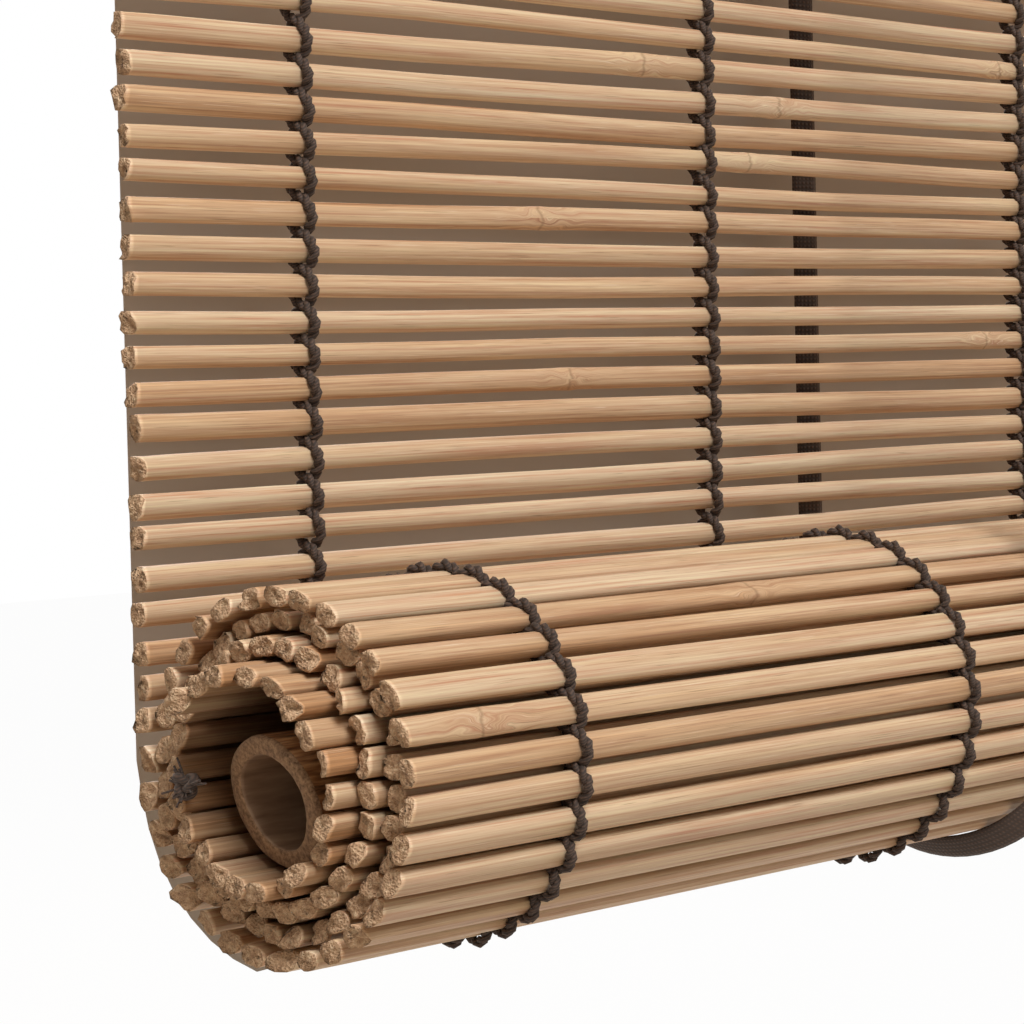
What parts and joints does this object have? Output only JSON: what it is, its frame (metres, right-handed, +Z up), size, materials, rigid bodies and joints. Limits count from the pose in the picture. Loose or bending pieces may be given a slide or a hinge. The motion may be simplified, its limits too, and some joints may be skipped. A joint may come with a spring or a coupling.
{
  "type": "bamboo roll-up blind",
  "caption": "Woven reed window blind, half rolled up around a loose bamboo tube and hung in two tape slings from a wooden head rail with pulleys and a cord lock.",
  "frame": {"origin": "midway between the two hanging holes, on the rear face of the ear plates", "axes": "+X along the blind to its right end, +Y to the wall, +Z up"},
  "size_m": [0.605, 0.0658, 0.4347],
  "materials": {
    "reed": "raw split bamboo reed",
    "thread": "dark brown twisted cotton thread",
    "tape": "dark brown woven tape",
    "bamboo": "raw sawn bamboo tube",
    "wood": "planed, clear oiled",
    "steel": "zinc plated sheet steel",
    "wheel": "moulded nylon"
  },
  "bodies": {
    "head": {"back_batten": "wood", "clamp_screws": "steel", "ear_plate_left": "steel", "ear_plate_right": "steel", "ear_screws": "steel", "hanging_mat": "reed", "head_rail": "wood", "lift_tape_left_front": "tape", "lift_tape_left_head": "tape", "lift_tape_left_rear": "tape", "lift_tape_right_front": "tape", "lift_tape_right_head": "tape", "lift_tape_right_rear": "tape", "lock_body": "steel", "lock_cam_axle": "steel", "lock_roller_axle": "steel", "lock_screws": "steel", "pulley_axle_left": "steel", "pulley_axle_right": "steel", "pulley_bracket_left": "steel", "pulley_bracket_right": "steel", "pulley_screws": "steel", "warp_thread_1": "thread", "warp_thread_2": "thread", "warp_thread_3": "thread", "warp_thread_4": "thread", "warp_thread_5": "thread", "warp_thread_6": "thread", "warp_thread_7": "thread"},
    "slings": {"lift_tape_left_sling": "tape", "lift_tape_right_sling": "tape"},
    "roll": {"mat_roll": "reed", "roll_warp_threads": "thread", "core_tube": "bamboo"},
    "pulley_left": {"pulley_left": "wheel"},
    "pulley_right": {"pulley_right": "wheel"},
    "lock_roller": {"lock_roller": "wheel"},
    "lock_cam": {"lock_cam": "wheel"}
  },
  "joints": [
    {"name": "roll_lift", "type": "slide", "parent": "head", "child": "slings", "axis": [0, 0, 1], "range_m": [0, 0.3167], "deforming": ["hanging_mat", "warp_thread_1", "warp_thread_2", "warp_thread_3", "warp_thread_4", "warp_thread_5", "warp_thread_6", "warp_thread_7", "lift_tape_left_rear", "lift_tape_right_rear", "lift_tape_left_front", "lift_tape_right_front"]},
    {"name": "roll_turn", "type": "hinge", "parent": "slings", "child": "roll", "pos_m": [0, -0.0381, -0.399], "axis": [-1, 0, 0], "range_deg": [0, 720.5]},
    {"name": "pulley_left_turn", "type": "hinge", "parent": "head", "child": "pulley_left", "pos_m": [-0.1413, -0.05, -0.0415], "axis": [0, 1, 0], "range_deg": [0, 4714]},
    {"name": "pulley_right_turn", "type": "hinge", "parent": "head", "child": "pulley_right", "pos_m": [0.1567, -0.05, -0.0415], "axis": [0, 1, 0], "range_deg": [0, 4714]},
    {"name": "lock_roller_turn", "type": "hinge", "parent": "head", "child": "lock_roller", "pos_m": [0.254, -0.05, -0.0395], "axis": [0, 1, 0], "range_deg": [0, 6367]},
    {"name": "lock_cam_swing", "type": "hinge", "parent": "head", "child": "lock_cam", "pos_m": [0.26955, -0.05, -0.0455], "axis": [0, -1, 0], "range_deg": [0, 35]}
  ],
  "couplings": [
    {"joint": "roll_turn", "follows": "roll_lift", "rad_per_m": 39.679},
    {"joint": "pulley_left_turn", "follows": "roll_lift", "rad_per_m": 259.74},
    {"joint": "pulley_right_turn", "follows": "roll_lift", "rad_per_m": 259.74},
    {"joint": "lock_roller_turn", "follows": "roll_lift", "rad_per_m": 350.88}
  ]
}
